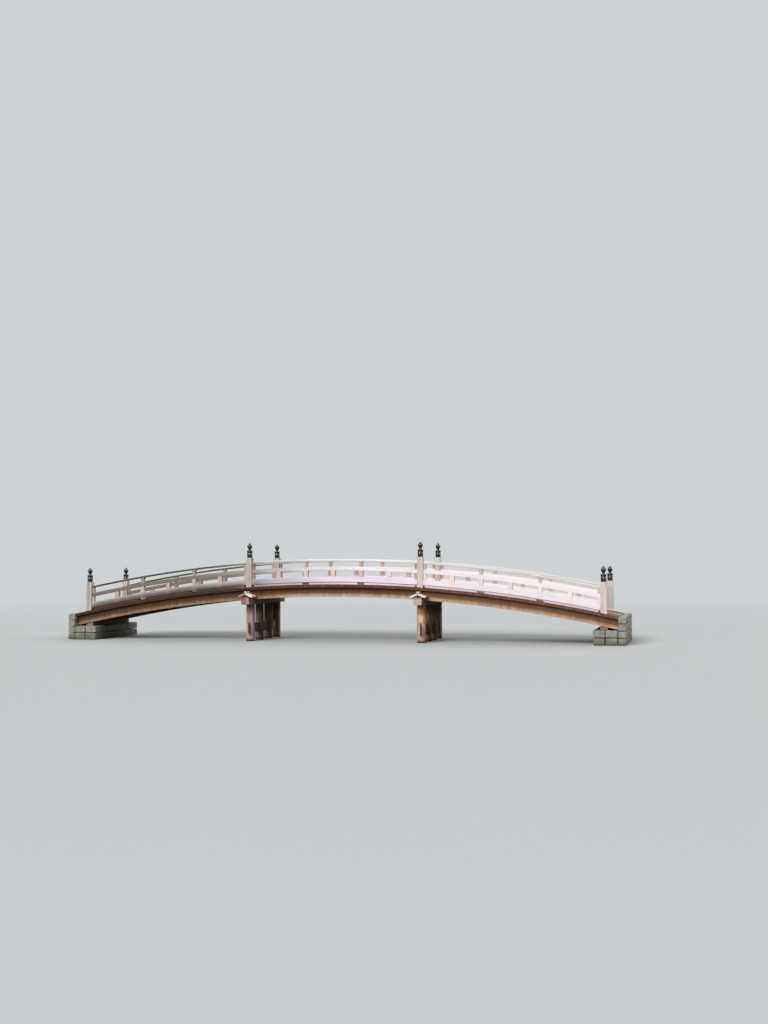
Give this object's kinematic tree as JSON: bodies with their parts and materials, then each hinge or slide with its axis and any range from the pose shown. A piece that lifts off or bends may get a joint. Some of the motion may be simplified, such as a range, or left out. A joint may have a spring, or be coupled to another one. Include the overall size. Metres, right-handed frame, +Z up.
{
  "type": "arched timber garden bridge",
  "caption": "Low arched timber garden bridge on pile bents, with a plank deck, post-and-rail parapets and onion finials on its main posts.",
  "frame": {"origin": "middle of the bridge at the level of its pile feet, which is the water level", "axes": "+X along the bridge, +Y across it away from its front parapet, +Z up"},
  "size_m": [19.42, 3.82, 3.3726],
  "materials": {
    "piles": "weathered, unpainted",
    "bent_timber": "weathered, unpainted",
    "roof_boards": "weathered, unpainted",
    "girder_timber": "weathered, unpainted",
    "deck_planks": "weathered, unpainted",
    "fascia_boards": "weathered, unpainted",
    "pale_timber": "weathered, unpainted",
    "post_timber": "weathered, unpainted",
    "abutment_stone": "rough dressed stone",
    "finial_bronze": "dark patinated, half gloss"
  },
  "bodies": {
    "root": {"left_piles": "piles", "right_piles": "piles", "left_tie_beam": "bent_timber", "right_tie_beam": "bent_timber", "left_tie_wedges": "bent_timber", "right_tie_wedges": "bent_timber", "left_cap_beam": "bent_timber", "right_cap_beam": "bent_timber", "left_bed_sill": "bent_timber", "right_bed_sill": "bent_timber", "left_beam_roofs": "roof_boards", "right_beam_roofs": "roof_boards", "left_ridge_battens": "roof_boards", "right_ridge_battens": "roof_boards", "left_girders": "girder_timber", "middle_girders": "girder_timber", "right_girders": "girder_timber", "left_deck": "deck_planks", "middle_deck": "deck_planks", "right_deck": "deck_planks", "front_fascia": "fascia_boards", "back_fascia": "fascia_boards", "front_drain_strip": "pale_timber", "back_drain_strip": "pale_timber", "front_sills": "pale_timber", "back_sills": "pale_timber", "front_mid_rails": "pale_timber", "back_mid_rails": "pale_timber", "front_top_rails": "pale_timber", "back_top_rails": "pale_timber", "front_short_struts": "post_timber", "back_short_struts": "post_timber", "front_tall_struts": "post_timber", "back_tall_struts": "post_timber", "front_flank_struts": "post_timber", "back_flank_struts": "post_timber", "front_main_posts": "post_timber", "back_main_posts": "post_timber", "left_abutment": "abutment_stone", "right_abutment": "abutment_stone", "front_finials": "finial_bronze", "back_finials": "finial_bronze"}
  },
  "joints": []
}
